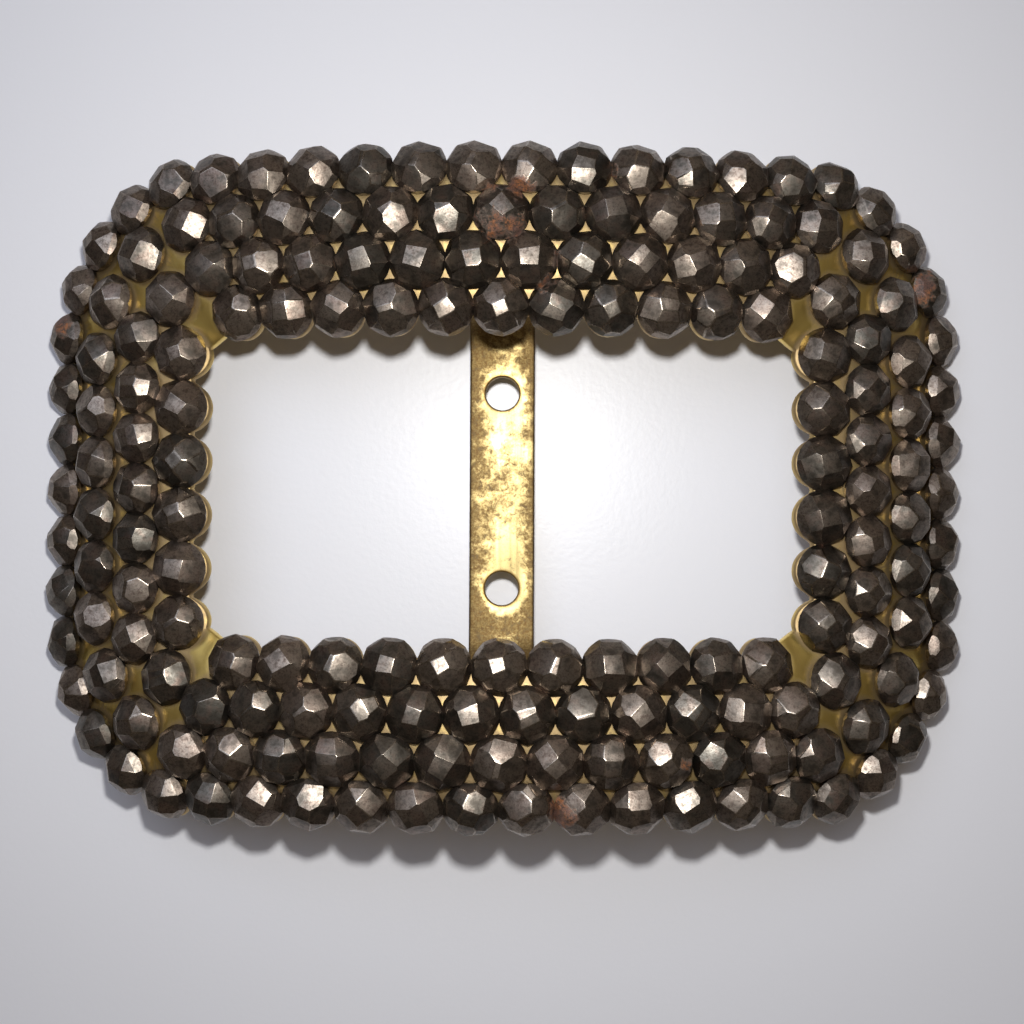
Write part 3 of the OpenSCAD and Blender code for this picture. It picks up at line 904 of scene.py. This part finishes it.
def bar_brass(looks):
    """Brass strip, cut from rolled sheet and rubbed by the belt.

    To the eye it is bright gold along the middle, where the belt rubs it and a painted highlight lies, and
    round the holes, where a painted highlight lies; brown and grey tarnish and painted shade darken it
    towards its edges, and it has fine scratches.
    """
    material, node, place = new_material("Brass strip, rubbed and tarnished")
    axes = node("SeparateXYZ", {0: place}).outputs
    # Width in mm of the clouds and blots of tarnish, of the swells in the strip, and of its pits
    clouds, blots, swell, pits = (
        node("TexNoise", {
            "Vector": place, "Scale": 1 / (width * MM), "Detail": detail, "Roughness": rough,
            "Distortion": bent})
        for width, detail, rough, bent in (
            (2.6, 8.0, 0.68, 0.0), (0.5, 6.0, 0.7, 0.6), (3.5, 1.0, 0.5, 0.0), (0.15, 3.0, 0.65, 0.0)))
    # Scratches 0.1 mm wide run up the bar
    drawn = node("Mapping", {"Vector": place, "Scale": (1 / (0.10 * MM), 1 / (2.2 * MM), 1 / (0.10 * MM))})
    scratches = node("TexNoise", {"Vector": drawn, "Scale": 1.0, "Detail": 3.0, "Roughness": 0.6})
    # The belt rubs the middle clean, and a painted highlight a little right of the middle stands for the
    # lamp on a crowned strip; the sides darken with tarnish and painted shade, and the ends stay brown
    rubbed = node("Math", {0: axes["X"], 1: looks.rub_place}, operation="SUBTRACT")
    aside, rubbed, along = (
        node("Math", {0: line}, operation="ABSOLUTE") for line in (axes["X"], rubbed, axes["Y"]))
    # Grey bloom lies in small patches, and a dark line runs down each edge
    # side darkens the strip towards its edges with tarnish and painted shade
    side, end, thick, bloom, rim = (
        node("MapRange", {"Value": value, "From Min": start, "From Max": stop, "To Max": most})
        for value, start, stop, most in (
            (rubbed, 0.8 * MM, 2.5 * MM, 0.42),
            (along, looks.hole_place - 0.5 * MM, looks.hole_place + 2.5 * MM, 0.3),
            (blots, 0.38, 0.6, 1.0), (blots, 0.42, 0.35, 0.55), (aside, 2.38 * MM, 2.56 * MM, 0.75)))
    # Painted highlight: a bright ring round each hole stands for a dished rim; the rivets left a brown lip
    off_hole = node("Math", {0: along, 1: looks.hole_place}, operation="SUBTRACT")
    spot = node("CombineXYZ", {0: axes["X"], 1: off_hole})
    off = node("VectorMath", {0: spot}, operation="LENGTH").outputs["Value"]
    ring, lip = (
        node("MapRange", {
            "Value": off, "From Min": looks.hole_radius + near * MM, "From Max": looks.hole_radius + far * MM,
            "To Min": most, "To Max": 0.0})
        for near, far, most in ((0.2, 1.0, 0.3), (0.12, 0.3, 0.75)))
    clean = node("Math", {0: clouds, 1: 2.0, 2: -0.56}, operation="MULTIPLY_ADD")
    for part, way in ((side, "SUBTRACT"), (end, "SUBTRACT"), (ring, "ADD")):
        clean = node("Math", {0: clean, 1: part}, operation=way)
    clean = node("Math", {0: blots, 1: 0.8, 2: clean}, operation="MULTIPLY_ADD")
    # Bare brass, partly worn and partly a painted highlight along the middle and round the holes
    bared = node("MapRange", {"Value": clean, "From Min": 0.46, "From Max": 0.94})
    # Brown tarnish fills the pits, most where the belt doesn't rub
    filled = node("Math", {0: bared, 1: -0.16, 2: pits}, operation="MULTIPLY_ADD")
    filled = node("MapRange", {"Value": filled, "From Min": 0.42, "From Max": 0.62, "To Max": 0.6})
    colour = shade("#7d6a48")
    for part, over in (
            (thick, looks.dull), (bared, looks.bright), (filled, shade("#6b4a28")), (bloom, shade("#77694f")),
            (lip, shade("#8a6a34")), (rim, shade("#37271a"))):
        colour = node("Mix", {"Factor_Float": part, "A_Color": colour, "B_Color": over}, data_type="RGBA")
    rough = node("MapRange", {"Value": bared, "To Min": 0.64, "To Max": 0.46})
    relief = node("Math", {0: scratches, 1: blots}, operation="ADD")
    uneven = node("Bump", {"Strength": 1.0, "Distance": 0.08 * MM, "Height": swell})
    bump = node("Bump", {"Strength": 0.5, "Distance": 0.02 * MM, "Height": relief, "Normal": uneven})
    return surfaced(material, node, colour, rough, bump)


# Facets of the solid bar that meet at less than FLAT are one, and edges sharper than SHARP are worn round
FLAT = radians(0.6)
SHARP = radians(40)
EDGE_STEPS = 3


class BUCKLE_OT_bar(Operator):
    """Make the bar, with worn round edges and two holes"""

    bl_idname = "buckle.make_bar"
    bl_label = "Make the bar"

    def execute(self, context):
        looks = context.scene.bar_looks
        solid = solid_of("slider_bar")
        bmesh.ops.dissolve_limit(solid, angle_limit=FLAT, verts=solid.verts, edges=solid.edges)
        bar = new_object("brass_bar", mesh_of(solid, "brass_bar"))
        rounding = bar.modifiers.new("Worn edges", "BEVEL")
        rounding.width, rounding.segments, rounding.harden_normals = looks.edge_round, EDGE_STEPS, True
        rounding.limit_method, rounding.angle_limit = "ANGLE", SHARP
        bar.data.materials.append(bar_brass(looks))
        hand_over(bar, "bar_brass", "slider_bar")
        return {"FINISHED"}


def table_top(looks):
    """White glossy laminate table top, printed and pressed under a clear film.

    To the eye it is pale and faintly blue, with a soft hot spot where its fine pebble mirrors the lamp.
    """
    material, node, place = new_material("Glossy laminate table top")
    # Pebble of the film, 0.25 mm across: two pebbles to a wave of the noise
    pebble = node("TexNoise", {"Vector": place, "Scale": 1 / (0.5 * MM), "Detail": 2.0, "Roughness": 0.55})
    bump = node("Bump", {"Strength": 0.5, "Distance": 0.02 * MM, "Height": pebble})
    return surfaced(material, node, looks.table_colour, 0.36, bump, metal=0.0, IOR=1.5)


def room(looks):
    """The room round the table, as a world: dim overhead, with darker far walls."""
    world = bpy.data.worlds.new("room")
    world.use_nodes = True
    world.node_tree.nodes.clear()
    node = partial(add, world.node_tree)
    way = node("TexCoord").outputs["Generated"]
    toward = node("SeparateXYZ", {0: way}).outputs
    glow = node("MapRange", {
        "Value": toward["Z"], "From Min": 0.1, "From Max": 0.75, "To Min": looks.room_light,
        "To Max": looks.room_dark})
    # It is dark low down, darker on the side of -Y than of +Y, and darker at the ends
    ends = node("Math", {0: toward["X"]}, operation="ABSOLUTE")
    for line, start, stop, first, last in (
            (toward["Z"], 0.02, 0.3, looks.horizon, 1.0), (toward["Y"], -0.7, 0.5, 0.55, 1.25),
            (ends, 0.15, 0.75, 1.12, looks.ends)):
        part = node("MapRange", {
            "Value": line, "From Min": start, "From Max": stop, "To Min": first, "To Max": last})
        glow = node("Math", {0: glow, 1: part}, operation="MULTIPLY")
    node("OutputWorld", {"Surface": node("Background", {"Color": shade("#f2ddc8"), "Strength": glow})})
    return world


# Half the width of the table top, how near and how far the camera sees, and the width of its frame in mm
TABLE_HALF = 0.6
NEAREST, FARTHEST = 0.005, 5
FRAME_WIDTH = 36


def hang(scene, name, place, size, power, code):
    """Hangs a round lamp that faces the buckle."""
    lamp = bpy.data.lights.new(name, "AREA")
    lamp.shape, lamp.size, lamp.energy = "DISK", size, power
    lamp.color = shade(code)[:3]
    hung = bpy.data.objects.new(name, lamp)
    hung.location = place
    hung.rotation_euler = (-Vector(place)).to_track_quat("-Z", "Y").to_euler()
    hung.visible_camera = False
    scene.collection.objects.link(hung)


class BUCKLE_OT_stage(Operator):
    """Lay the table top, light it with a lamp beside the lens, and set the camera"""

    bl_idname = "buckle.set_stage"
    bl_label = "Set the stage"

    def execute(self, context):
        looks, scene, half = context.scene.stage_looks, context.scene, TABLE_HALF
        corners = [(-half, -half, 0), (half, -half, 0), (half, half, 0), (-half, half, 0)]
        top = new_object("table_top", plain_mesh("table_top", corners, [(0, 1, 2, 3)]))
        top.data.materials.append(table_top(looks))
        hang(scene, "flash", looks.flash_place, looks.flash_size, looks.flash_power, "#fffdfb")
        hang(scene, "soft_lamp", looks.soft_place, looks.soft_size, looks.soft_power, "#d8e4ff")
        scene.world = room(looks)
        lens = bpy.data.cameras.new("camera")
        lens.lens, lens.sensor_width = looks.lens, FRAME_WIDTH
        lens.clip_start, lens.clip_end = NEAREST, FARTHEST
        camera = bpy.data.objects.new("camera", lens)
        camera.location = looks.camera_place
        camera.rotation_euler = Euler(looks.camera_turn)
        scene.collection.objects.link(camera)
        scene.camera = camera
        scene.view_settings.view_transform = "Standard"
        return {"FINISHED"}


OPERATORS = (BUCKLE_OT_studs, BUCKLE_OT_sheet, BUCKLE_OT_tails, BUCKLE_OT_bar, BUCKLE_OT_stage)


class BUCKLE_PT_panel(Panel):
    """Lists the buckle's steps and their settings"""

    bl_label = "Slider buckle"
    bl_idname = "BUCKLE_PT_panel"
    bl_space_type = "VIEW_3D"
    bl_region_type = "UI"
    bl_category = "Buckle"

    def draw(self, context):
        for operator, name in zip(OPERATORS, SETTINGS):
            box = self.layout.box()
            looks = getattr(context.scene, name)
            for prop in looks.bl_rna.properties:
                if prop.identifier not in ("rna_type", "name"):
                    box.prop(looks, prop.identifier)
            box.operator(operator.bl_idname)


CLASSES = (*SETTINGS.values(), *OPERATORS, BUCKLE_PT_panel)


def register():
    for kind in CLASSES:
        bpy.utils.register_class(kind)
    for name, group in SETTINGS.items():
        setattr(Scene, name, PointerProperty(type=group))


def unregister():
    for name in SETTINGS:
        delattr(Scene, name)
    for kind in reversed(CLASSES):
        bpy.utils.unregister_class(kind)


def main():
    """Registers the add-on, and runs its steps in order."""
    register()
    bpy.ops.buckle.set_stage()
    bpy.ops.buckle.set_studs()
    bpy.ops.buckle.press_sheet()
    bpy.ops.buckle.set_tails()
    bpy.ops.buckle.make_bar()


if __name__ == "__main__":
    main()
